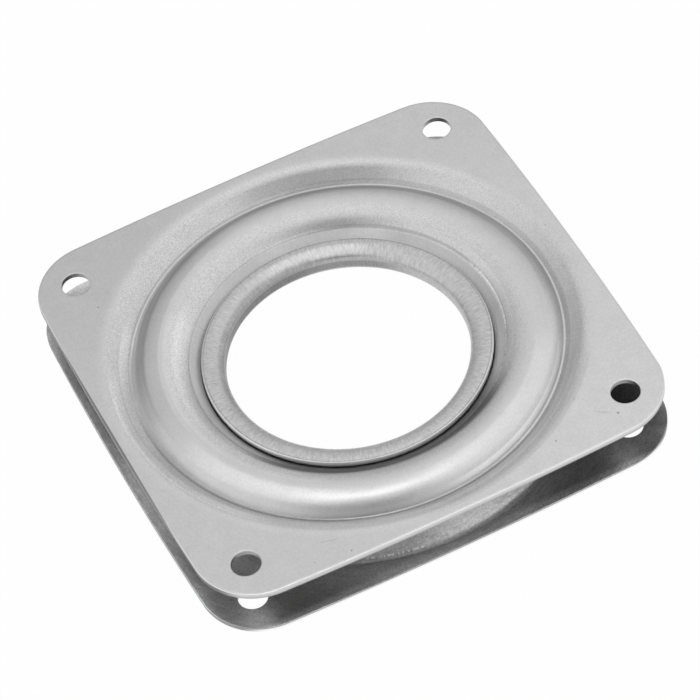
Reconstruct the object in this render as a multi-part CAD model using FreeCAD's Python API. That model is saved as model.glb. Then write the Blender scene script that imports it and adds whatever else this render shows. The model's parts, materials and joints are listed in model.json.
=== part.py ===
"""Square swivel bearing: two pressed steel plates that turn on a ring of loose balls.

Each plate is one pressing of thin sheet. From its edge inwards it has a flat square flange, whose sides are
slightly bowed, with a hole at each corner, a cone that dips away from the mounting face, a crease, and a ball
race that rises back to the mounting face. Inside the race the top plate falls by a second cone to a flat seat
ring. The bottom plate goes on as a neck, drawn up through the hole of the top plate and rolled outwards over
its seat, which holds the two together. The balls fill the race between the plates.

Frame: millimetres, +Z up along the swivel axis, origin on the axis in the bottom plate's mounting face.
"""
import FreeCAD, Part
import math
import os

# Driving sizes of the square plates
plate_side = 77.2           # across the middles of the sides
side_bow = 0.95             # rise of a side's middle over the line between its sharp corners
corner_radius = 9.85
sheet = 0.9
hole_inset = 7.4            # from the middles of the sides to the holes' centres
hole_diameter = 4.5

# Driving sizes of the balls and their race
ball_diameter = 7.0
race_inset = 10.15          # from the middle of a side to the middle of the race
ball_spacing_gap = 0.3      # least free space between two neighbouring balls
race_clearance = 0.03       # running clearance between a ball and either plate
crown_drop = 0.07           # race crown, below the mounting face
groove_relief = 1.0         # how much rounder the groove is than the ball

# Driving sizes of the pressing on both sides of the race
race_flank_angle = 50.0
outer_flank = 0.65          # straight flank, from the crown's arc to the crease
inner_flank = 0.33
cone_angle = 38.0           # of the cones outside and inside the race

# Driving sizes of the top plate's seat ring
seat_drop = 1.5             # from the crease inside the race to the seat
seat_gap = 0.75             # between the two plates at the seat
collar_clearance = 1.0      # round the neck, inside the top plate's hole

# Driving sizes of the neck's lip, which is arched over the seat
lip_overhang = 0.14         # from the foot of the cone to the lip's edge, over the cone
lip_clearance = 0.35        # under the arch, above the seat
lip_rise = 1.85             # from the bore to the middle of the arch
lip_fall = 1.77             # from there to the lip's edge
lip_rise_angle = 30.0
lip_fall_angle = 8.0

# Driving bend radii, each on the inside of its bend
flange_bend = 1.6
crease_bend = 0.35
seat_bend = 0.3
neck_foot_bend = 0.4
neck_top_bend = 0.4
lip_arch_bend = 2.4

# Outline: the sides' arcs, and the corners' arcs that touch them
half_side = plate_side / 2
half_diagonal = plate_side / math.sqrt(2)
sharp_corner = half_side - side_bow
side_radius = (sharp_corner ** 2 + side_bow ** 2) / (2 * side_bow)
side_centre = half_side - side_radius
between_centres = side_radius - corner_radius
corner_centre = (side_centre + math.sqrt(2 * between_centres ** 2 - side_centre ** 2)) / 2
corner_middle = corner_centre + corner_radius / math.sqrt(2)
touch_out = side_centre + side_radius * (corner_centre - side_centre) / between_centres
touch_along = side_radius * corner_centre / between_centres

# Places of the holes, the balls and the race
hole_place = half_side - hole_inset
ball_radius = ball_diameter / 2
race_radius = half_side - race_inset
groove_radius = ball_radius + groove_relief
overall_height = ball_diameter + 2 * (race_clearance + sheet + crown_drop)
mid_height = overall_height / 2

# Corners of the race, with depths taken from the mounting face
flank = math.radians(race_flank_angle)
cone = math.radians(cone_angle)
crown_radius = groove_radius + sheet
crown_foot = crown_radius * math.sin(flank)
crown_foot_depth = crown_drop + crown_radius * (1 - math.cos(flank))
peak_depth = crown_foot_depth - crown_foot * math.tan(flank)
outer_crease = race_radius + crown_foot + outer_flank * math.cos(flank)
outer_crease_depth = crown_foot_depth + outer_flank * math.sin(flank)
inner_crease = race_radius - crown_foot - inner_flank * math.cos(flank)
inner_crease_depth = crown_foot_depth + inner_flank * math.sin(flank)
cone_start = outer_crease + outer_crease_depth / math.tan(cone)

# Corners of the seat and the neck
seat_radius = inner_crease - seat_drop / math.tan(cone)
seat_depth = inner_crease_depth + seat_drop
seat_face = overall_height - seat_depth
lip_radius = seat_radius + lip_overhang
arch_corner = lip_radius - lip_fall
neck_radius = arch_corner - lip_rise
collar_radius = neck_radius + sheet + collar_clearance
shelf_height = seat_face - sheet - seat_gap - sheet

# Heights of the lip, whose arch touches the lines that rise from the neck and fall to the edge
rise = math.radians(lip_rise_angle)
fall = math.radians(lip_fall_angle)
lip_height = seat_face + lip_clearance + sheet
arch_radius = lip_arch_bend + sheet
arch_corner_height = lip_height + arch_radius * (math.cos((rise - fall) / 2) / math.cos((rise + fall) / 2) - 1)
lip_foot_height = arch_corner_height - lip_rise * math.tan(rise)
lip_edge_height = arch_corner_height - lip_fall * math.tan(fall)


def unit(vector):
    """The vector at length one."""
    length = math.hypot(vector[0], vector[1])
    return (vector[0] / length, vector[1] / length)


def move(point, direction, distance):
    """The point moved along a unit direction."""
    return (point[0] + direction[0] * distance, point[1] + direction[1] * distance)


def right_of(direction):
    """The direction turned a quarter turn clockwise."""
    return (direction[1], -direction[0])


def bend_corner(before, corner, after, inside_radius):
    """Start, middle and end of the bend at a corner, each with its normal into the sheet."""
    way_in = unit((corner[0] - before[0], corner[1] - before[1]))
    way_out = unit((after[0] - corner[0], after[1] - corner[1]))
    cross = way_in[0] * way_out[1] - way_in[1] * way_out[0]
    along = way_in[0] * way_out[0] + way_in[1] * way_out[1]
    half_turn = abs(math.atan2(cross, along)) / 2
    hollow = cross > 0
    radius = inside_radius if hollow else inside_radius + sheet
    reach = radius * math.tan(half_turn)
    start = move(corner, way_in, -reach)
    end = move(corner, way_out, reach)
    centre = move(start, right_of(way_in), -radius if hollow else radius)
    outward = unit((corner[0] - centre[0], corner[1] - centre[1]))
    middle = move(centre, outward, radius)
    middle_normal = outward if hollow else (-outward[0], -outward[1])
    return [(start, right_of(way_in)), (middle, middle_normal), (end, right_of(way_out))]


def pressed_section(corners, bends, to_height):
    """Section of a bent sheet as a face in the XZ plane.

    The corners run from the rim inwards as (radius, depth) on the mounting side of the sheet, and each
    corner between the first and the last has the inside radius of its bend.
    """
    def vector(point):
        return FreeCAD.Vector(point[0], 0, to_height(point[1]))

    stations = []
    for index, inside_radius in enumerate(bends):
        stations.append(bend_corner(*corners[index:index + 3], inside_radius))

    first_way = unit((corners[1][0] - corners[0][0], corners[1][1] - corners[0][1]))
    last_way = unit((corners[-1][0] - corners[-2][0], corners[-1][1] - corners[-2][1]))
    ends = [(corners[0], right_of(first_way)), (corners[-1], right_of(last_way))]

    def side(offset):
        """Lines and arcs of one side of the sheet, and its two end points."""
        edges = []
        here = move(*ends[0], offset)
        begin = here
        for bend in stations:
            start, middle, end = [move(point, normal, offset) for point, normal in bend]
            edges.append(Part.LineSegment(vector(here), vector(start)).toShape())
            edges.append(Part.Arc(vector(start), vector(middle), vector(end)).toShape())
            here = end
        finish = move(*ends[1], offset)
        edges.append(Part.LineSegment(vector(here), vector(finish)).toShape())
        return edges, begin, finish

    face_edges, face_begin, face_finish = side(0.0)
    back_edges, back_begin, back_finish = side(sheet)
    caps = [Part.LineSegment(vector(face_begin), vector(back_begin)).toShape(),
            Part.LineSegment(vector(face_finish), vector(back_finish)).toShape()]
    return Part.Face(Part.Wire(Part.__sortEdges__(face_edges + back_edges + caps)))


def turned(section):
    """The section turned once round the swivel axis."""
    return section.revolve(FreeCAD.Vector(0, 0, 0), FreeCAD.Vector(0, 0, 1), 360)


def plate_outline():
    """Square of four shallow arcs, with an arc at each corner that touches both its sides."""
    points = [FreeCAD.Vector(touch_out, -touch_along, 0),
              FreeCAD.Vector(half_side, 0, 0),
              FreeCAD.Vector(touch_out, touch_along, 0),
              FreeCAD.Vector(corner_middle, corner_middle, 0),
              FreeCAD.Vector(touch_along, touch_out, 0)]
    edges = []
    for quarter in range(4):
        turn = FreeCAD.Rotation(FreeCAD.Vector(0, 0, 1), 90 * quarter)
        start, side_middle, touch, arc_middle, end = [turn.multVec(point) for point in points]
        edges.append(Part.Arc(start, side_middle, touch).toShape())
        edges.append(Part.Arc(touch, arc_middle, end).toShape())
    return Part.Face(Part.Wire(edges))


def square_blank():
    """Prism over the whole height with the plates' outline and their four corner holes."""
    blank = plate_outline().extrude(FreeCAD.Vector(0, 0, overall_height))
    for x_side in (-1, 1):
        for y_side in (-1, 1):
            centre = FreeCAD.Vector(x_side * hole_place, y_side * hole_place, 0)
            blank = blank.cut(Part.makeCylinder(hole_diameter / 2, overall_height, centre))
    return blank


# Corners and inside bend radii that both pressings share, from the rim to the crease inside the race
race_corners = [(half_diagonal, 0.0),
                (cone_start, 0.0),
                (outer_crease, outer_crease_depth),
                (race_radius, peak_depth),
                (inner_crease, inner_crease_depth)]
race_bends = [flange_bend, crease_bend, groove_radius, crease_bend]


def make_top_plate():
    """Upper pressing: race, inner cone and the seat under the rolled lip."""
    corners = race_corners + [(seat_radius, seat_depth),
                              (collar_radius, seat_depth)]
    bends = race_bends + [seat_bend]
    section = pressed_section(corners, bends, lambda depth: overall_height - depth)
    return turned(section).common(square_blank())


def make_bottom_plate():
    """Lower pressing: race, shelf and the neck with its rolled lip."""
    corners = race_corners + [(seat_radius, shelf_height),
                              (neck_radius, shelf_height),
                              (neck_radius, lip_foot_height),
                              (arch_corner, arch_corner_height),
                              (lip_radius, lip_edge_height)]
    bends = race_bends + [crease_bend, neck_foot_bend, neck_top_bend, lip_arch_bend]
    section = pressed_section(corners, bends, lambda depth: depth)
    return turned(section).common(square_blank())


def make_balls():
    """Balls evenly spread round the race."""
    half_pitch = math.asin((ball_diameter + ball_spacing_gap) / 2 / race_radius)
    count = int(math.pi / half_pitch)
    balls = []
    for index in range(count):
        angle = 2 * math.pi * index / count
        centre = FreeCAD.Vector(race_radius * math.cos(angle), race_radius * math.sin(angle), mid_height)
        balls.append(Part.makeSphere(ball_radius, centre))
    return balls


def main():
    """Write one STEP file for each piece."""
    os.makedirs("parts", exist_ok=True)
    pieces = {"top_plate": make_top_plate(), "bottom_plate": make_bottom_plate()}
    for number, ball in enumerate(make_balls(), start=1):
        pieces[f"ball_{number:02d}"] = ball
    for name, shape in pieces.items():
        solid = shape.Solids[0]
        solid.exportStep(f"parts/{name}.step")
        print(name, "solids", len(shape.Solids), "valid", solid.isValid(), "volume", round(solid.Volume, 2))


main()
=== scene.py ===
"""Looks of a square swivel bearing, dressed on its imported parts.

Both plates are drawn again as fine sheets with sheared edges, from the same bends as the solids. The balls
keep their solids and get a finish. Lengths are in millimetres, and each mesh turns them into metres.
"""
import bpy
import bmesh
import json
import math
from mathutils import Matrix, Vector
from mathutils.geometry import delaunay_2d_cdt


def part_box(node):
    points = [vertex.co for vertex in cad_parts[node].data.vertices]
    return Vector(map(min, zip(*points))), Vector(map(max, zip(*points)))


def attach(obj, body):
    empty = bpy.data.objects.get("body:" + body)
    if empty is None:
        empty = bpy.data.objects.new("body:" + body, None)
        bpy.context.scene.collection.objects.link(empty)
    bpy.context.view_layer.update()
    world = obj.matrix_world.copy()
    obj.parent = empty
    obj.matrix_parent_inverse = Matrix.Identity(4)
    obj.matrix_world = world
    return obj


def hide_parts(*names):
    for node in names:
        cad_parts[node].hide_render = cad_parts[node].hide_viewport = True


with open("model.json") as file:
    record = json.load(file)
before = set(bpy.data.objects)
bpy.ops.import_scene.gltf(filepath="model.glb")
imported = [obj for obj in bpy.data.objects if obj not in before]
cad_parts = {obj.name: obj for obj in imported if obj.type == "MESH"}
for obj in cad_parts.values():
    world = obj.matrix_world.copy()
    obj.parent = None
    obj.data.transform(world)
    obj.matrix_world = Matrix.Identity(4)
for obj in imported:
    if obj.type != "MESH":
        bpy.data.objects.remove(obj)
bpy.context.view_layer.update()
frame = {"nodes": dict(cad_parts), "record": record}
MM = 0.001


def mount_sizes(name):
    """The stated sizes of one of the record's mounts."""
    return next(mount["dims"] for mount in frame["record"]["mounts"] if mount["name"] == name)


def node_box(name):
    """Lowest and highest corner of a node, in millimetres."""
    return [[value / MM for value in corner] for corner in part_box(name)]


# Sizes that the frame gives
ball_low, ball_high = node_box("ball_01")
plate_low, plate_high = node_box("top_plate")
base_high = node_box("bottom_plate")[1]
overall_height = plate_high[2]
half_side = plate_high[0]
ball_radius = (ball_high[2] - ball_low[2]) / 2
race_radius = (ball_high[0] + ball_low[0]) / 2
hole_place = mount_sizes("top_bolts")["spacing_x_mm"] / 2
hole_radius = mount_sizes("top_bolts")["hole_r_mm"]
neck_radius = mount_sizes("centre_bore")["r_mm"]
lip_height = base_high[2]

# Sizes of the pressings that the frame doesn't give
side_bow = 0.95             # rise of a side's middle over the line between its sharp corners
corner_radius = 9.85
sheet = 0.9
groove_relief = 1.0         # how much rounder the groove is than the ball
race_flank_angle = 50.0
outer_flank = 0.65          # straight flank, from the crown's arc to the crease
inner_flank = 0.33
cone_angle = 38.0
seat_gap = 0.75             # between the two plates at the seat
collar_clearance = 1.0      # round the neck, inside the top plate's hole
lip_overhang = 0.14         # from the foot of the cone to the lip's edge, over the cone
lip_fall = 1.77             # from the middle of the lip's arch to its edge
lip_rise_angle = 30.0
lip_fall_angle = 8.0

# Bend radii, each on the inside of its bend
flange_bend = 1.6
crease_bend = 0.35
seat_bend = 0.3
neck_foot_bend = 0.4
neck_top_bend = 0.4
lip_arch_bend = 2.4

# Sheared edges: rolled over on the mounting side by a width and a depth, with a small burr behind
outline_rollover = (0.45, 0.15)
hole_rollover = (0.3, 0.1)
lip_rollover = (0.28, 0.4)
burr_radius = 0.05
edge_margin = 0.12          # flat stretch that keeps the edge's shading to itself

# Fineness of the meshes
turn_steps = 360
hole_steps = 96
rollover_steps = 6
burr_steps = 3
least_bend_steps = 3
bend_step = math.radians(6)
outline_step = 0.6
flange_grid = 1.3
flange_circle = 37.6        # the turned part of a plate ends here, in its flat flange

# Smallest distances that count: between two points, from a face's middle to an edge, and in the triangulation
merge_distance = 0.001
edge_tolerance = 0.005
triangle_tolerance = 1e-6

# Outline of the plates: the sides' arcs, and the corners' arcs that touch them
sharp_corner = half_side - side_bow
side_radius = (sharp_corner ** 2 + side_bow ** 2) / (2 * side_bow)
side_centre = half_side - side_radius
between_centres = side_radius - corner_radius
corner_centre = (side_centre + math.sqrt(2 * between_centres ** 2 - side_centre ** 2)) / 2
touch_angle = math.atan2(corner_centre, corner_centre - side_centre)

# Corners of the sections, as in the solids
flank = math.radians(race_flank_angle)
crown_radius = ball_radius + groove_relief + sheet
crown_drop = overall_height / 2 - ball_radius - sheet
crown_foot = crown_radius * math.sin(flank)
crown_foot_depth = crown_drop + crown_radius * (1 - math.cos(flank))
peak_depth = crown_foot_depth - crown_foot * math.tan(flank)
outer_crease = race_radius + crown_foot + outer_flank * math.cos(flank)
outer_crease_depth = crown_foot_depth + outer_flank * math.sin(flank)
inner_crease = race_radius - crown_foot - inner_flank * math.cos(flank)
inner_crease_depth = crown_foot_depth + inner_flank * math.sin(flank)
cone_start = outer_crease + outer_crease_depth / math.tan(math.radians(cone_angle))
seat_depth = overall_height - plate_low[2] - sheet
seat_radius = inner_crease - (seat_depth - inner_crease_depth) / math.tan(math.radians(cone_angle))
shelf_height = plate_low[2] - seat_gap - sheet

# Corners of the lip, whose arch touches the lines that rise from the neck and fall to the edge
rise = math.radians(lip_rise_angle)
fall = math.radians(lip_fall_angle)
lip_radius = seat_radius + lip_overhang
arch_corner = lip_radius - lip_fall
arch_radius = lip_arch_bend + sheet
arch_rise = arch_radius * (math.cos((rise - fall) / 2) / math.cos((rise + fall) / 2) - 1)
arch_corner_height = lip_height + arch_rise
lip_foot_height = arch_corner_height - (arch_corner - neck_radius) * math.tan(rise)
lip_edge_height = arch_corner_height - lip_fall * math.tan(fall)

race_corners = [(flange_circle, 0.0),
                (cone_start, 0.0),
                (outer_crease, outer_crease_depth),
                (race_radius, peak_depth),
                (inner_crease, inner_crease_depth)]
race_bends = [flange_bend, crease_bend, ball_radius + groove_relief, crease_bend]


def right_of(direction):
    """The direction turned a quarter turn clockwise."""
    return Vector((direction.y, -direction.x))


def turned_by(direction, angle):
    """The direction turned anticlockwise."""
    return Matrix.Rotation(angle, 2) @ direction


def bend_stations(before, corner, after, inside_radius):
    """Points along the bend at a corner, each with its normal into the sheet."""
    way_in = (corner - before).normalized()
    way_out = (after - corner).normalized()
    turn = math.atan2(way_in.cross(way_out), way_in.dot(way_out))
    hollow = turn > 0
    radius = inside_radius if hollow else inside_radius + sheet
    start = corner - way_in * radius * math.tan(abs(turn) / 2)
    spoke = right_of(way_in) * (radius if hollow else -radius)
    centre = start - spoke
    steps = max(least_bend_steps, math.ceil(abs(turn) / bend_step))
    stations = []
    for step in range(steps + 1):
        angle = turn * step / steps
        stations.append((centre + turned_by(spoke, angle), right_of(turned_by(way_in, angle))))
    return stations


def section_stations(corners, bends):
    """Points along the mounting side of a bent sheet, each with its normal into the sheet."""
    corners = [Vector(corner) for corner in corners]
    first_way = (corners[1] - corners[0]).normalized()
    stations = [(corners[0], right_of(first_way))]
    for index, inside_radius in enumerate(bends):
        bend = bend_stations(*corners[index:index + 3], inside_radius)
        stations += run_ends(stations[-1], bend[0]) + bend
    return stations


def run_ends(start, end):
    """Two more points close to the ends of a straight run, so that its shading stays flat."""
    length = (end[0] - start[0]).length
    if length < 3 * edge_margin:
        return []
    way = (end[0] - start[0]) / length
    return [(start[0] + way * edge_margin, start[1]), (end[0] - way * edge_margin, end[1])]


def sheared_profile(rollover):
    """Cut edge of the sheet, as (distance in from the edge, depth in the sheet) from face to back."""
    width, depth = rollover
    profile = [(width + edge_margin, 0.0)]
    for step in range(rollover_steps + 1):
        angle = math.pi / 2 * step / rollover_steps
        profile.append((width * (1 - math.sin(angle)), depth * (1 - math.cos(angle))))
    profile.append((0.0, depth + edge_margin))
    profile.append((0.0, sheet - burr_radius - edge_margin))
    for step in range(burr_steps + 1):
        angle = math.pi / 2 * step / burr_steps
        inset = burr_radius * (1 - math.cos(angle))
        profile.append((inset, sheet - burr_radius * (1 - math.sin(angle))))
    profile.append((burr_radius + edge_margin, sheet))
    return profile


def turned_section(corners, bends):
    """The whole outline of a turned sheet, down its face, over its rim and back, as (radius, depth)."""
    stations = section_stations(corners, bends)
    rim = Vector(corners[-1])
    way = (rim - stations[-1][0]).normalized()
    inward = right_of(way)
    face = [point for point, normal in stations]
    over = [rim - way * inset + inward * depth for inset, depth in sheared_profile(lip_rollover)]
    back = [point + normal * sheet for point, normal in reversed(stations)]
    return face + over + back


def add_turned(mesh, outline, to_height):
    """Turn an open outline round the swivel axis."""
    rings = []
    for radius, depth in outline:
        ring = []
        for step in range(turn_steps):
            angle = 2 * math.pi * step / turn_steps
            place = (radius * math.cos(angle), radius * math.sin(angle), to_height(depth))
            ring.append(mesh.verts.new(place))
        rings.append(ring)
    join_rings(mesh, rings)


def join_rings(mesh, rings):
    """Fill the bands between closed rings of the same count."""
    for ring, following in zip(rings, rings[1:]):
        for index in range(len(ring)):
            ahead = (index + 1) % len(ring)
            mesh.faces.new((ring[index], ring[ahead], following[ahead], following[index]))


def arc_points(centre, radius, first, last, step_length):
    """Points along an arc, without its last one, each with its outward normal."""
    steps = round(radius * (last - first) / step_length)
    points = []
    for step in range(steps):
        angle = first + (last - first) * step / steps
        normal = Vector((math.cos(angle), math.sin(angle)))
        points.append((centre + normal * radius, normal))
    return points


def plate_loop():
    """Points round the plates' outline, each with its outward normal."""
    side = arc_points(Vector((side_centre, 0)), side_radius, -touch_angle, touch_angle, outline_step)
    corner = arc_points(Vector((corner_centre, corner_centre)), corner_radius, touch_angle,
                        math.pi / 2 - touch_angle, outline_step)
    loop = []
    for quarter in range(4):
        turn = Matrix.Rotation(quarter * math.pi / 2, 2)
        loop += [(turn @ point, turn @ normal) for point, normal in side + corner]
    return loop


def hole_loop(centre):
    """Points round a fixing hole, each with its normal out of the metal."""
    loop = []
    for step in range(hole_steps):
        angle = 2 * math.pi * step / hole_steps
        spoke = Vector((math.cos(angle), math.sin(angle)))
        loop.append((centre + spoke * hole_radius, -spoke))
    return loop


def add_cut_edge(mesh, loop, rollover, to_height):
    """Sheared edge along a loop. Returns the points where the flange begins on its face and its back."""
    profile = sheared_profile(rollover)
    rings = []
    for inset, depth in profile:
        ring = []
        for point, normal in loop:
            place = point - normal * inset
            ring.append(mesh.verts.new((place.x, place.y, to_height(depth))))
        rings.append(ring)
    join_rings(mesh, rings)
    return ([point - normal * profile[0][0] for point, normal in loop],
            [point - normal * profile[-1][0] for point, normal in loop])


def inside_outline(point, gap):
    """Whether a point lies inside the plates' outline, by more than the gap."""
    out, along = max(abs(point.x), abs(point.y)), min(abs(point.x), abs(point.y))
    if math.atan2(along, out - side_centre) < touch_angle:
        return math.hypot(out - side_centre, along) < side_radius - gap
    return math.hypot(out - corner_centre, along - corner_centre) < corner_radius - gap


def inside_flange(point, outline_gap, hole_gap, circle_gap):
    """Whether a point lies in the flat flange, clear of its outline, its holes and the turned part."""
    if point.length < flange_circle + circle_gap or not inside_outline(point, outline_gap):
        return False
    place = Vector((abs(point.x), abs(point.y)))
    return (place - Vector((hole_place, hole_place))).length > hole_radius + hole_gap


def add_flange(mesh, loops, outline_gap, hole_gap, height):
    """Flat face between the outline, the holes and the turned part."""
    points = []
    edges = []
    for loop in loops:
        first = len(points)
        count = len(loop)
        points += loop
        edges += [(first + index, first + (index + 1) % count) for index in range(count)]
    rows = math.ceil(half_side / flange_grid)
    for row in range(-rows, rows + 1):
        for column in range(-rows, rows + 1):
            shift = flange_grid / 2 if row % 2 else 0.0
            point = Vector((column * flange_grid + shift, row * flange_grid * math.sqrt(3) / 2))
            if inside_flange(point, flange_grid, flange_grid, flange_grid / 2):
                points.append(point)
    found, _, faces, *_ = delaunay_2d_cdt(points, edges, [], 0, triangle_tolerance)
    verts = [mesh.verts.new((point.x, point.y, height)) for point in found]
    for face in faces:
        middle = sum((found[index] for index in face), Vector((0.0, 0.0))) / len(face)
        if inside_flange(middle, outline_gap + edge_tolerance, hole_gap, 0.0):
            mesh.faces.new([verts[index] for index in face])


def linked_object(name, data):
    """New object in the scene that shows the data."""
    thing = bpy.data.objects.new(name, data)
    bpy.context.scene.collection.objects.link(thing)
    return thing


def pressed_plate(name, corners, bends, to_height):
    """One pressed plate as an object with a closed mesh."""
    mesh = bmesh.new()
    add_turned(mesh, turned_section(corners, bends), to_height)
    face_loop, back_loop = add_cut_edge(mesh, plate_loop(), outline_rollover, to_height)
    face_loops = [face_loop]
    back_loops = [back_loop]
    for centre in [Vector((x * hole_place, y * hole_place)) for x in (-1, 1) for y in (-1, 1)]:
        face_loop, back_loop = add_cut_edge(mesh, hole_loop(centre), hole_rollover, to_height)
        face_loops.append(face_loop)
        back_loops.append(back_loop)
    circle = []
    for step in range(turn_steps):
        angle = 2 * math.pi * step / turn_steps
        circle.append(Vector((flange_circle * math.cos(angle), flange_circle * math.sin(angle))))
    outline_gap = outline_rollover[0] + edge_margin
    hole_gap = hole_rollover[0] + edge_margin
    burr_gap = burr_radius + edge_margin
    add_flange(mesh, face_loops + [circle], outline_gap, hole_gap, to_height(0.0))
    add_flange(mesh, back_loops + [circle], burr_gap, burr_gap, to_height(sheet))
    loose = [vert for vert in mesh.verts if not vert.link_faces]
    bmesh.ops.delete(mesh, geom=loose, context="VERTS")
    bmesh.ops.remove_doubles(mesh, verts=mesh.verts, dist=merge_distance)
    bmesh.ops.recalc_face_normals(mesh, faces=mesh.faces)
    bmesh.ops.scale(mesh, vec=(MM, MM, MM), verts=mesh.verts)
    for face in mesh.faces:
        face.smooth = True
    data = bpy.data.meshes.new(name)
    mesh.to_mesh(data)
    mesh.free()
    return linked_object(name, data)


def make_top_sheet():
    """Upper plate: race, inner cone and seat, mounting face up."""
    collar_radius = neck_radius + sheet + collar_clearance
    corners = race_corners + [(seat_radius, seat_depth),
                              (collar_radius, seat_depth)]
    bends = race_bends + [seat_bend]
    plate = pressed_plate("top_sheet", corners, bends, lambda depth: overall_height - depth)
    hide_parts("top_plate")
    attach(plate, "turntable")
    return plate


def make_bottom_sheet():
    """Lower plate: race, shelf and the neck rolled over the seat, mounting face down."""
    corners = race_corners + [(seat_radius, shelf_height),
                              (neck_radius, shelf_height),
                              (neck_radius, lip_foot_height),
                              (arch_corner, arch_corner_height),
                              (lip_radius, lip_edge_height)]
    bends = race_bends + [crease_bend, neck_foot_bend, neck_top_bend, lip_arch_bend]
    plate = pressed_plate("bottom_sheet", corners, bends, lambda depth: depth)
    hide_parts("bottom_plate")
    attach(plate, "base")
    return plate


class Finish:
    """A node material, with short ways to add its nodes."""

    def __init__(self, name):
        self.material = bpy.data.materials.new(name)
        self.material.use_nodes = True
        self.tree = self.material.node_tree
        self.shader = self.tree.nodes["Principled BSDF"]

    def add(self, kind, inputs=(), **settings):
        """A node with its settings and its inputs, which are numbers or other nodes' outputs."""
        node = self.tree.nodes.new(kind)
        for name, value in settings.items():
            setattr(node, name, value)
        for name, value in dict(inputs).items():
            self.put(node.inputs[name], value)
        return node

    def put(self, socket, value):
        """Give a socket a number or join an output to it."""
        if isinstance(value, bpy.types.NodeSocket):
            self.tree.links.new(value, socket)
        else:
            socket.default_value = value

    def math(self, operation, first, second=0.0, third=0.0):
        """Result of a math node."""
        node = self.add("ShaderNodeMath", {0: first, 1: second, 2: third}, operation=operation)
        return node.outputs[0]

    def times(self, first, second):
        """Product of two values. Of two masks it is one where both are one."""
        return self.math("MULTIPLY", first, second)

    def plus(self, value, other, amount):
        """The value, plus the other by an amount."""
        return self.math("MULTIPLY_ADD", other, amount, value)

    def scaled(self, value, mask, factor):
        """The value, times the factor where the mask is one."""
        return self.times(value, self.plus(1.0, mask, factor - 1.0))

    def mix(self, first, second, mask):
        """The first value where the mask is nought, and the second where it is one."""
        return self.plus(first, self.math("SUBTRACT", second, first), mask)

    def ramp(self, value, low, high, low_result=0.0, high_result=1.0):
        """Value carried over smoothly from one range to another, and held at its ends."""
        inputs = {"Value": value, "From Min": low, "From Max": high,
                  "To Min": low_result, "To Max": high_result}
        return self.add("ShaderNodeMapRange", inputs, interpolation_type="SMOOTHSTEP").outputs[0]

    def band(self, value, low, high, soft):
        """One between low and high, fading to zero over the soft width outside."""
        rising = self.ramp(value, low - soft, low)
        falling = self.ramp(value, high, high + soft, 1.0, 0.0)
        return self.times(rising, falling)

    def noise(self, place, scale, detail, roughness):
        """Noise round zero, about -0.5 to 0.5."""
        inputs = {"Vector": place, "Scale": scale, "Detail": detail, "Roughness": roughness}
        noise = self.add("ShaderNodeTexNoise", inputs)
        return self.math("SUBTRACT", noise.outputs["Fac"], 0.5)

    def vector(self, x, y, z):
        """A vector of three numbers or outputs."""
        return self.add("ShaderNodeCombineXYZ", {"X": x, "Y": y, "Z": z}).outputs[0]

    def split(self, vector):
        """The three parts of a vector."""
        return self.add("ShaderNodeSeparateXYZ", {0: vector}).outputs

    def grey(self, tone):
        """A tone as a colour."""
        return self.add("ShaderNodeCombineColor", {"Red": tone, "Green": tone, "Blue": tone}).outputs[0]

    def show(self, shader):
        """Make a shader the material's surface."""
        self.put(self.tree.nodes["Material Output"].inputs["Surface"], shader)


# Noises, as (scale, detail, roughness). A scale is in 1/mm where the noise is taken at a place on the plate
fine_noise = (4.5, 2.0, 0.6)
grain_noise = (2.0, 2.0, 0.5)
mottle_noise = (0.35, 3.0, 0.5)
smear_noise = (0.8, 4.0, 0.65)
smudge_noise = (3.5, 2.0, 0.6)
streak_noise = (1.0, 2.0, 0.6)
groove_noise = (1.0, 3.0, 0.7)
bead_noise = (1.0, 0.0, 0.5)
ball_noise = (0.6, 3.0, 0.5)
noise_slice = 0.37          # these two lie off the noise's own grid, where it would be flat
second_slice = 0.61

# Galvanised sheet, with the amounts by which the noises change it
sheet_tone = 0.605
sheet_roughness = 0.38
fine_amount = 0.18
grain_amount = 0.08
mottle_amount = 0.07
bump_depth = 0.03
bump_strength = 0.6
grain_bump = 0.5            # share of the grain in the bumps

# Limits of masks. A facing is the part of a face's normal along an axis
past_holes = (34.0, 34.8)           # distance out to the sides, beyond the holes' own edges
past_turned_part = (37.3, 37.7)     # radius
cut_facing = (-0.4, 0.3, 0.2)       # upwards
gap_side_facing = (0.05, 0.3)         # towards the balls
gap_side_radius = (22.5, 24.0)
bead_limits = (-0.02, 0.04)         # of the noise

# Painted shade between the plates: the share of light let back, as (from x, to x, share there, share here),
# then the amounts of the grease smears, smudges and streaks that break it, and how close the streaks lie by
# angle and by radius
gap_shade_share = (-5.0, 24.0, 0.84, 0.66)
smear_amount = 0.35
smudge_amount = 0.8
streak_amount = 0.45
streaks_per_radian = 18.0
streaks_per_mm = 3.0


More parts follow.
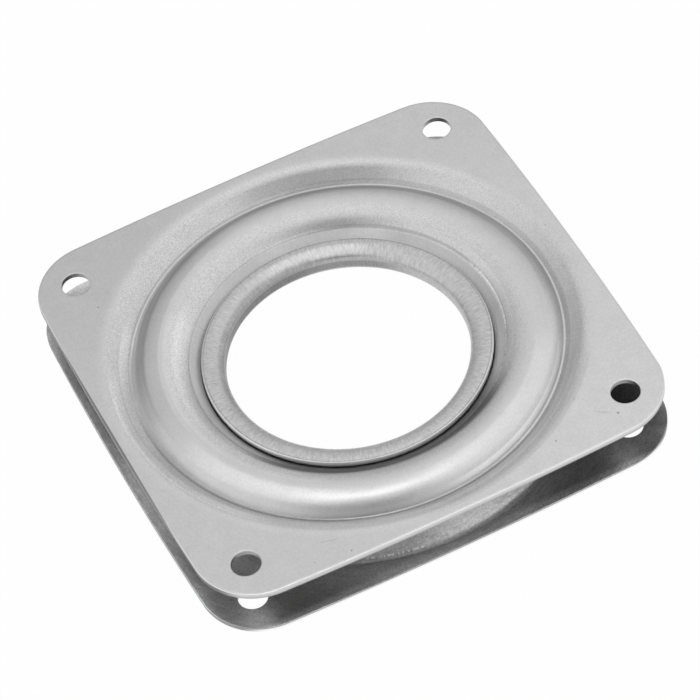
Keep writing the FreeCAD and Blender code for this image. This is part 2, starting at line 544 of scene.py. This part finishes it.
class Steel(Finish):
    """Steel with places in millimetres round the swivel axis, toned at first as satin galvanised sheet."""

    def __init__(self, name):
        super().__init__(name)
        coordinates = self.add("ShaderNodeTexCoord").outputs["Object"]
        to_mm = self.add("ShaderNodeVectorMath", {0: coordinates, 1: (1 / MM,) * 3}, operation="MULTIPLY")
        self.place = to_mm.outputs[0]
        self.x, self.y, self.z = self.split(self.place)
        squares = self.math("ADD", self.times(self.x, self.x), self.times(self.y, self.y))
        self.radius = self.math("SQRT", squares)
        self.angle = self.math("ARCTAN2", self.y, self.x)
        self.out = self.math("MAXIMUM", self.math("ABSOLUTE", self.x), self.math("ABSOLUTE", self.y))

        normal = self.add("ShaderNodeNewGeometry").outputs["Normal"]
        self.facing_right, self.facing_back, self.facing_up = self.split(normal)
        self.outline = self.times(self.ramp(self.out, *past_holes), self.ramp(self.radius, *past_turned_part))
        self.cut_face = self.times(self.outline, self.band(self.facing_up, *cut_facing))

        self.fine = self.noise(self.place, *fine_noise)
        self.grain = self.noise(self.place, *grain_noise)
        mottle = self.noise(self.place, *mottle_noise)
        self.tone = self.plus(sheet_tone, self.fine, fine_amount)
        self.tone = self.plus(self.tone, self.grain, grain_amount)
        self.tone = self.plus(self.tone, mottle, mottle_amount)
        self.rough = self.plus(sheet_roughness, self.grain, grain_amount)

    def along(self, x, y, azimuth):
        """How far a point lies along a direction, which is given in degrees."""
        azimuth = math.radians(azimuth)
        return self.plus(self.times(x, math.cos(azimuth)), y, math.sin(azimuth))

    def nearness(self, azimuth):
        """Cosine of the angle from an azimuth, in degrees, round the swivel axis."""
        return self.math("DIVIDE", self.along(self.x, self.y, azimuth), self.radius)

    def ring(self, inner, outer, soft):
        """One between two radii."""
        return self.band(self.radius, inner, outer, soft)

    def sector(self, azimuth, half_width, soft):
        """One within a sector round an azimuth, all in degrees."""
        limits = [math.cos(math.radians(angle)) for angle in (half_width + soft, half_width)]
        return self.ramp(self.nearness(azimuth), *limits)

    def zone(self, sector, ring):
        """One within both a sector and a ring."""
        return self.times(self.sector(*sector), self.ring(*ring))

    def beads(self, radius, per_mm):
        """One on irregular beads along a circle."""
        along = self.times(self.angle, radius * per_mm)
        place = self.vector(along, noise_slice, second_slice)
        return self.ramp(self.noise(place, *bead_noise), *bead_limits)

    def spot(self, place, size):
        """One on a small round spot, fading at its rim."""
        away = self.add("ShaderNodeVectorMath", {0: self.place, 1: place}, operation="DISTANCE")
        return self.ramp(away.outputs["Value"], 0.5 * size, size, 1.0, 0.0)

    def scratch(self, centre, azimuth, length, width):
        """One along a fine line, with its direction in degrees."""
        x = self.math("SUBTRACT", self.x, centre[0])
        y = self.math("SUBTRACT", self.y, centre[1])
        lengthways = self.band(self.along(x, y, azimuth), -length / 2, length / 2, length / 4)
        across = self.band(self.along(x, y, azimuth + 90), -width / 2, width / 2, width)
        return self.times(lengthways, across)

    def gap_side(self, facing):
        """One on the side that faces the balls, outside the crease near the neck, where the painted shade
        between the plates goes.
        """
        inside = self.ramp(self.times(self.facing_up, facing), *gap_side_facing)
        return self.times(inside, self.ramp(self.radius, *gap_side_radius))

    def film_and_shade(self):
        """Painted shade between the plates, as the share of light let back, darker towards the right-hand
        side, with grease smears.
        """
        film_and_shade = self.ramp(self.x, *gap_shade_share)
        film_and_shade = self.plus(film_and_shade, self.noise(self.place, *smear_noise), smear_amount)
        film_and_shade = self.plus(film_and_shade, self.noise(self.place, *smudge_noise), smudge_amount)
        streak_place = self.vector(self.times(self.angle, streaks_per_radian),
                                   self.times(self.radius, streaks_per_mm), noise_slice)
        return self.plus(film_and_shade, self.noise(streak_place, *streak_noise), streak_amount)

    def scale_tone(self, mask, factor):
        """Lighten or darken the sheet where the mask is one."""
        self.tone = self.scaled(self.tone, mask, factor)

    def end(self, bump_height, strength):
        """Join the tone, the roughness and the bumps to the shader."""
        self.put(self.shader.inputs["Base Color"], self.grey(self.tone))
        self.put(self.shader.inputs["Metallic"], 1.0)
        self.put(self.shader.inputs["Roughness"], self.rough)
        bump = self.add("ShaderNodeBump", {"Height": bump_height, "Strength": strength,
                                           "Distance": bump_depth * MM})
        self.put(self.shader.inputs["Normal"], bump.outputs[0])
        return self.material


# Zones of painted light and painted shade on the upper plate, in its creases and on flanks that mirror dark
# or bright
# surroundings: (azimuth, half width, soft) of a sector in degrees, (inner, outer, soft) of a ring, and the
# factor on the sheet's tone
top_light_and_shade_zones = [((100, 55, 35), (31.1, 32.0, 0.7), 0.68),
             ((-125, 45, 20), (32.9, 33.45, 0.12), 0.73),
             ((-30, 95, 25), (33.3, 33.8, 0.25), 0.84),
             ((-95, 34, 26), (23.3, 25.2, 1.1), 0.4),
             ((-102, 38, 20), (23.97, 25.35, 0.12), 0.5),
             ((120, 30, 20), (22.6, 23.8, 0.3), 0.86),
             ((72, 15, 15), (22.4, 24.2, 0.3), 1.2),
             ((20, 45, 12), (24.2, 24.4, 0.1), 0.75),
             ((-20, 25, 15), (24.4, 25.3, 0.3), 1.12),
             ((-170, 40, 20), (25.8, 27.6, 0.6), 1.1),
             ((-140, 12, 18), (29.4, 31.0, 0.7), 1.17),
             ((-62, 22, 15), (29.2, 31.2, 0.7), 1.12),
             ((-168, 22, 15), (35.0, 36.2, 0.3), 1.22),
             ((-122, 22, 15), (34.6, 36.2, 0.4), 1.12),
             ((-178, 35, 20), (24.6, 26.2, 0.6), 1.14),
             ((15, 25, 20), (23.0, 23.8, 0.3), 0.82),
             ((12, 15, 20), (31.2, 32.7, 0.4), 0.85),
             ((147, 25, 25), (28.8, 30.9, 0.4), 0.86),
             ((90, 25, 20), (30.4, 31.4, 0.4), 0.86),
             ((115, 28, 15), (32.3, 33.0, 0.2), 1.25),
             ((110, 30, 20), (33.2, 33.4, 0.15), 0.8),
             ((165, 12, 15), (33.5, 34.5, 0.3), 1.22),
             ((-58, 18, 15), (32.2, 32.55, 0.2), 1.35),
             ((-68, 25, 15), (33.5, 34.8, 0.4), 0.84),
             ((-66, 20, 15), (36.5, 37.2, 0.4), 0.88),
             ((72, 12, 15), (33.9, 35.2, 0.4), 0.82),
             ((-160, 38, 15), (32.95, 33.12, 0.08), 0.76),
             ((120, 75, 20), (24.05, 24.15, 0.08), 0.82)]

# Its rings with more speckle, and the sector where the speckle is stronger
worked_rings = [(33.4, 36.4, 0.5), (24.4, 26.8, 0.8)]
speckle_amount = 0.26
strong_speckle_sector = (160, 45, 25)
strong_speckle_factor = 1.6

# Its flat flange, which starts between two radii, with painted light and shade across it as (from, to, factor
# there, factor here)
flange_start = (36.8, 38.4)
flange_light_by_x = (-25.0, 25.0, 0.93, 1.03)
flange_light_by_y = (5.0, 30.0, 1.0, 0.95)

# Painted glints on its crease inside the race. Their line is shifted towards an azimuth
glint_tone = 1.0
glint_line = (23.86, 24.03, 0.07)
glint_azimuth = -15
glint_shift = 0.3
glint_sector = (-20, 22, 14)
glint_radius = 24.0
glints_per_mm = 7.0
dense_sector = (-8, 9, 8)
dense_share = 0.7

# Its sheared edge, with painted light and shade by the way its faces turn: a painted highlight on the rolled
# corner, painted shade on the cut face
rolled_highlight_tone = 0.76
rolled_facing_up = (0.45, 0.95, 0.04)
rolled_facing_right = (-0.15, -0.45)
rolled_facing_back = (-0.1, -0.4)
near_cut_shade_tone = (8.2, 8.7, 0.48, 0.66)      # by height, as (from, to, tone there, tone here)
near_cut_facing_back = (-0.45, -0.8)
left_cut_shade_factor = 0.35
left_cut_facing_right = (-0.6, -0.9)
left_cut_x = (-38.2, -38.35)

# Small dark marks on its face, as (x, y, size), and fine scratches, as (x, y, azimuth, length)
top_marks = [(28.33, -34.26, 0.24), (17.97, -34.27, 0.18), (-16.91, -37.0, 0.16), (-30.09, 25.06, 0.16),
             (-34.79, 7.66, 0.14), (24.0, -28.6, 0.12), (-22.5, -36.2, 0.12), (36.4, 4.2, 0.14)]
mark_factor = 0.45
top_scratches = [(26.5, -33.0, -36.0, 1.4), (-19.0, -33.7, -17.0, 2.0), (-17.3, 15.2, -40.0, 0.9)]
scratch_factor = 0.82
scratch_width = 0.1


def top_finish():
    """Upper plate: worked cone and flanks with painted light and shade, painted glints on a crease, a painted
    highlight on the sheared edge, painted shade underneath and small marks.
    """
    steel = Steel("top_steel")
    worked = steel.math("MAXIMUM", *[steel.ring(*ring) for ring in worked_rings])
    speckle = steel.times(steel.fine, worked)
    speckle = steel.scaled(speckle, steel.sector(*strong_speckle_sector), strong_speckle_factor)
    steel.tone = steel.plus(steel.tone, speckle, speckle_amount)
    # Painted light and painted shade in zones on the flanks, creases and cone
    for sector, ring, factor in top_light_and_shade_zones:
        steel.scale_tone(steel.zone(sector, ring), factor)
    # Painted light across the flat flange: lighter to the right, darker to the back
    flange_light = steel.times(steel.ramp(steel.x, *flange_light_by_x), steel.ramp(steel.y, *flange_light_by_y))
    steel.tone = steel.times(steel.tone, steel.mix(1.0, flange_light, steel.ramp(steel.radius, *flange_start)))

    add_glints(steel)
    paint_edge_light_and_shade(steel)
    for x, y, size in top_marks:
        steel.scale_tone(steel.spot((x, y, overall_height), size), mark_factor)
    for x, y, azimuth, length in top_scratches:
        steel.scale_tone(steel.scratch((x, y), azimuth, length, scratch_width), scratch_factor)
    # Painted shade on the side that faces the lower plate, broken by grease smears
    steel.tone = steel.times(steel.tone, steel.mix(1.0, steel.film_and_shade(), steel.gap_side(-1.0)))
    return steel.end(steel.plus(speckle, steel.grain, grain_bump), bump_strength)


def add_glints(steel):
    """Painted glints: bright beads on the crease inside the race, which run together in one part."""
    line_radius = steel.plus(steel.radius, steel.nearness(glint_azimuth), -glint_shift)
    line = steel.times(steel.band(line_radius, *glint_line), steel.sector(*glint_sector))
    dense = steel.times(steel.sector(*dense_sector), dense_share)
    beads = steel.math("MAXIMUM", steel.beads(glint_radius, glints_per_mm), dense)
    steel.tone = steel.mix(steel.tone, glint_tone, steel.times(line, beads))


def paint_edge_light_and_shade(steel):
    """Upper plate's edge: painted highlight where it is rolled over at the front and the left, painted shade
    on the near and left cuts.
    """
    near_or_left = steel.math("MAXIMUM", steel.ramp(steel.facing_right, *rolled_facing_right),
                              steel.ramp(steel.facing_back, *rolled_facing_back))
    rolled = steel.times(steel.outline, steel.band(steel.facing_up, *rolled_facing_up))
    steel.tone = steel.mix(steel.tone, rolled_highlight_tone, steel.times(rolled, near_or_left))
    near_cut = steel.times(steel.cut_face, steel.ramp(steel.facing_back, *near_cut_facing_back))
    steel.tone = steel.mix(steel.tone, steel.ramp(steel.z, *near_cut_shade_tone), near_cut)
    left_cut = steel.times(steel.cut_face, steel.ramp(steel.facing_right, *left_cut_facing_right))
    left_cut = steel.math("MAXIMUM", left_cut, steel.ramp(steel.x, *left_cut_x))
    steel.scale_tone(left_cut, left_cut_shade_factor)


# Zones of painted light and painted shade on the lower plate's lip, given as for the upper plate
bottom_light_and_shade_zones = [((135, 40, 22), (18.5, 19.4, 0.6), 0.75),
                ((102, 45, 30), (18.0, 18.702, 0.08), 0.57),
                ((80, 14, 16), (19.6, 20.8, 0.4), 1.22),
                ((-95, 45, 20), (19.8, 20.6, 0.3), 1.08)]

# The lip, with fine radial grooves, a dull line and a painted highlight on its edge
lip_factor = 0.88
lip_reach = (22.8, 22.5)            # radius
lip_heights = (5.0, 5.4)
grooves_per_radian = 80.0
grooves_per_mm = 0.8
groove_amount = 0.55
lip_line = (21.93, 22.05, 0.08)
lip_line_factor = 0.75
lip_edge = (22.16, 22.7, 0.06)
lip_edge_highlight_tone = 0.85

# Painted light in its shade between the plates: lighter on the cone to the right, towards the rim and at the
# near rim's ends
lit_cone = (33.0, 36.3, 0.5)
lit_cone_x = (-8.0, 3.0)
lit_cone_factor = 1.2
rim_out = (36.6, 37.8)
rim_factor = 1.25
near_rim_y = (-35.5, -36.5)
near_rim_middle = -4.0
near_rim_ends = (10.0, 17.0)        # distance from its middle
near_rim_factor = 1.45

# Spots of painted light and painted shade between the plates, as (x, y, size, factor)
gap_light_and_shade_spots = [(33.0, -26.0, 6.0, 0.13), (33.5, -33.5, 8.0, 0.6), (-36.5, -29.5, 7.0, 1.35),
              (29.0, -37.5, 5.0, 0.85), (36.3, -31.5, 3.5, 0.6), (-37.5, 27.0, 14.0, 0.7)]

# Painted glints along the foot of its cone, in a zone and as beads with a radius and a number per mm
lower_glint_tone = 0.9
lower_glint_zone = ((-105, 6, 2), (36.27, 36.43, 0.12))
lower_glint_beads = (36.35, 2.8)

# Its cut face: painted shade, with a painted highlight band at the near side
cut_shade_factor = 0.5
near_edge_highlight_tone = 1.0
near_edge_highlight_facing_back = (-0.7, -0.95)
near_edge_highlight_heights = (0.78, 0.42)


def bottom_finish():
    """Lower plate: lip with fine radial grooves and a painted highlight on its edge, painted shade with
    grease smears inside, painted shade on its cut edge.
    """
    steel = Steel("bottom_steel")
    lip = steel.ramp(steel.radius, *lip_reach)
    groove_place = steel.vector(steel.times(steel.angle, grooves_per_radian),
                                steel.times(steel.radius, grooves_per_mm),
                                steel.times(steel.z, grooves_per_mm))
    grooves = steel.times(steel.noise(groove_place, *groove_noise), lip)
    steel.tone = steel.plus(steel.tone, grooves, groove_amount)
    steel.scale_tone(lip, lip_factor)
    # Painted light and painted shade in zones on the lip and neck
    for sector, ring, factor in bottom_light_and_shade_zones:
        steel.scale_tone(steel.zone(sector, ring), factor)
    on_lip = steel.ramp(steel.z, *lip_heights)
    steel.scale_tone(steel.times(steel.ring(*lip_line), on_lip), lip_line_factor)
    # Painted highlight along the lip's edge
    steel.tone = steel.mix(steel.tone, lip_edge_highlight_tone, steel.times(steel.ring(*lip_edge), on_lip))

    # Painted shade between the plates, with its painted light and grease smears
    on_gap_side = steel.gap_side(1.0)
    steel.tone = steel.times(steel.tone, steel.mix(1.0, bottom_gap_light_and_shade(steel), on_gap_side))
    # Painted glints along the foot of the cone
    lower_glints = steel.times(steel.zone(*lower_glint_zone), steel.beads(*lower_glint_beads))
    steel.tone = steel.mix(steel.tone, lower_glint_tone, steel.times(lower_glints, on_gap_side))

    # Painted shade on the cut face, and a painted highlight on its near side
    steel.scale_tone(steel.cut_face, cut_shade_factor)
    near_edge_highlight = steel.times(steel.outline, steel.ramp(steel.facing_back, *near_edge_highlight_facing_back))
    near_edge_highlight = steel.times(near_edge_highlight, steel.ramp(steel.z, *near_edge_highlight_heights))
    steel.tone = steel.mix(steel.tone, near_edge_highlight_tone, near_edge_highlight)
    return steel.end(steel.plus(grooves, steel.grain, grain_bump), bump_strength)


def bottom_gap_light_and_shade(steel):
    """Painted shade between the plates on the lower plate, with its painted light patches, painted shade
    spots and grease smears.
    """
    film_and_shade = steel.film_and_shade()
    on_cone = steel.times(steel.ring(*lit_cone), steel.ramp(steel.x, *lit_cone_x))
    film_and_shade = steel.scaled(film_and_shade, on_cone, lit_cone_factor)
    rim = steel.ramp(steel.out, *rim_out)
    film_and_shade = steel.scaled(film_and_shade, rim, rim_factor)
    from_middle = steel.math("ABSOLUTE", steel.math("SUBTRACT", steel.x, near_rim_middle))
    near_rim = steel.times(steel.times(rim, steel.ramp(steel.y, *near_rim_y)),
                           steel.ramp(from_middle, *near_rim_ends))
    film_and_shade = steel.scaled(film_and_shade, near_rim, near_rim_factor)
    for x, y, size, factor in gap_light_and_shade_spots:
        film_and_shade = steel.scaled(film_and_shade, steel.spot((x, y, sheet), size), factor)
    return film_and_shade


# Polished balls, with the amounts by which a film of grease changes them
ball_tone = 0.7
ball_tone_amount = 0.1
ball_roughness = 0.16
ball_roughness_amount = 0.15


def ball_finish():
    """Polished steel ball with a film of grease."""
    steel = Steel("ball_steel")
    film_and_shade = steel.noise(steel.place, *ball_noise)
    steel.tone = steel.plus(ball_tone, film_and_shade, ball_tone_amount)
    steel.rough = steel.plus(ball_roughness, film_and_shade, ball_roughness_amount)
    return steel.end(film_and_shade, 0.0)


def dress_balls():
    """Give each ball's node its finish."""
    material = ball_finish()
    for name, node in frame["nodes"].items():
        if name.startswith("ball_"):
            node.data.materials.clear()
            node.data.materials.append(material)


# The camera, from the photograph's perspective
camera_place = Vector((-130.65, -387.63, 483.44))
camera_aim = Vector((0.725, 0.892, 4.5))
camera_roll = math.radians(-9.54)
camera_lens = 213.45

# The white surroundings, as the eye and mirrors see them and as light
white_seen = 1.0
white_light = 0.7

# The floor, whose white hides all but a small share of its shading from the eye
floor_tone = 0.85
floor_white = 0.98
floor_reach = 3.0           # metres
floor_drop = 0.05

card_distance = 400.0


def add_camera():
    """Camera at the photograph's viewing angle."""
    data = bpy.data.cameras.new("view")
    data.lens = camera_lens
    data.sensor_width = 36.0
    data.clip_start = 0.01
    data.clip_end = 20.0
    camera = linked_object("view", data)
    forward = (camera_aim - camera_place).normalized()
    level = forward.cross(Vector((0, 0, 1))).normalized()
    upward = level.cross(forward)
    right = level * math.cos(camera_roll) + upward * math.sin(camera_roll)
    up = right.cross(forward)
    axes = Matrix((right, up, -forward)).transposed().to_4x4()
    camera.matrix_world = Matrix.Translation(camera_place * MM) @ axes
    bpy.context.scene.camera = camera


def looking_ray(tree):
    """One for rays that look at a thing, straight or in a mirror, and nought for those that light it."""
    path = tree.nodes.new("ShaderNodeLightPath")
    total = path.outputs["Is Camera Ray"]
    for name in ("Is Glossy Ray", "Is Transmission Ray"):
        node = tree.nodes.new("ShaderNodeMath")
        node.operation = "MAXIMUM"
        tree.links.new(total, node.inputs[0])
        tree.links.new(path.outputs[name], node.inputs[1])
        total = node.outputs[0]
    return total


def add_world():
    """White surroundings for the eye, and a softer white that lights what is matt."""
    world = bpy.data.worlds.new("studio")
    bpy.context.scene.world = world
    world.use_nodes = True
    tree = world.node_tree
    background = tree.nodes["Background"]
    strength = tree.nodes.new("ShaderNodeMapRange")
    strength.inputs["To Min"].default_value = white_light
    strength.inputs["To Max"].default_value = white_seen
    tree.links.new(looking_ray(tree), strength.inputs["Value"])
    background.inputs["Color"].default_value = (1, 1, 1, 1)
    tree.links.new(strength.outputs[0], background.inputs["Strength"])


def rectangle(name, half_width, half_height, height):
    """Level rectangle as a new object, in metres."""
    data = bpy.data.meshes.new(name)
    corners = [(x * half_width, y * half_height, height) for x, y in ((-1, -1), (1, -1), (1, 1), (-1, 1))]
    data.from_pydata(corners, [], [(0, 1, 2, 3)])
    return linked_object(name, data)


def add_floor():
    """Plain pale floor that keeps the bearing's shadow."""
    floor = rectangle("floor", floor_reach, floor_reach, -floor_drop * MM)
    finish = Finish("floor")
    finish.put(finish.shader.inputs["Base Color"], (floor_tone, floor_tone, floor_tone, 1))
    finish.put(finish.shader.inputs["Roughness"], 1.0)
    finish.put(finish.shader.inputs["Specular IOR Level"], 0.0)
    glow = finish.add("ShaderNodeEmission", {"Strength": white_seen})
    share = finish.times(looking_ray(finish.tree), floor_white)
    mix = finish.add("ShaderNodeMixShader", {0: share, 1: finish.shader.outputs[0], 2: glow.outputs[0]})
    finish.show(mix.outputs[0])
    floor.data.materials.append(finish.material)


def place_on_dome(azimuth, elevation, distance):
    """Point in millimetres, seen from the bearing at an azimuth and an elevation in degrees."""
    azimuth, elevation = math.radians(azimuth), math.radians(elevation)
    level = math.cos(elevation) * distance
    return Vector((level * math.cos(azimuth), level * math.sin(azimuth), math.sin(elevation) * distance))


def face_point(thing, place, aim):
    """Put a lamp or a card at a place and turn it to face the aim point, both in millimetres."""
    thing.location = place * MM
    thing.rotation_euler = (Vector(aim) - place).to_track_quat("-Z", "Y").to_euler()


def add_lamp(name, place, aim, width, height, radiance, spread=180.0):
    """Soft rectangular light that faces the aim point."""
    data = bpy.data.lights.new(name, "AREA")
    data.shape = "RECTANGLE"
    data.size = width * MM
    data.size_y = height * MM
    data.spread = math.radians(spread)
    data.energy = radiance * math.pi * width * height * MM ** 2
    face_point(linked_object(name, data), Vector(place), aim)


def add_card(name, azimuth, elevation, width, height, foot_tone, top_tone):
    """Grey card, graded from foot to top, that only mirrors in the metal, as a dim studio wall does."""
    half_height = height / 2 * MM
    card = rectangle(name, width / 2 * MM, half_height, 0.0)
    face_point(card, place_on_dome(azimuth, elevation, card_distance), (0, 0, 0))
    card.visible_camera = False
    card.visible_diffuse = False
    card.visible_transmission = False
    card.visible_shadow = False
    finish = Finish(name)
    coordinates = finish.add("ShaderNodeTexCoord").outputs["Object"]
    up = finish.split(coordinates)["Y"]
    tone = finish.ramp(up, -half_height, half_height, foot_tone, top_tone)
    finish.show(finish.add("ShaderNodeEmission", {"Strength": tone}).outputs[0])
    card.data.materials.append(finish.material)


def add_lights():
    """Soft light from above and the dim parts of the studio that the metal mirrors."""
    add_lamp("overhead", (0, 0, 600), (0, 0, 0), width=520, height=400, radiance=0.12)
    add_lamp("near_side", (0, -38, 170), (0, -36, 9), width=90, height=40, radiance=0.055, spread=16.0)
    left = place_on_dome(azimuth=175, elevation=30, distance=500)
    add_lamp("left_side", left, (0, 0, 0), width=150, height=180, radiance=0.2)
    add_card("camera_side", azimuth=-112, elevation=46, width=290, height=240, foot_tone=0.28, top_tone=0.25)
    add_card("back", azimuth=88, elevation=22, width=1150, height=580, foot_tone=0.33, top_tone=0.98)


def main():
    """Dress the parts and light them."""
    top = make_top_sheet()
    bottom = make_bottom_sheet()
    top.data.materials.append(top_finish())
    bottom.data.materials.append(bottom_finish())
    dress_balls()
    add_camera()
    add_world()
    add_floor()
    add_lights()
    bpy.context.scene.view_settings.view_transform = "Standard"


main()
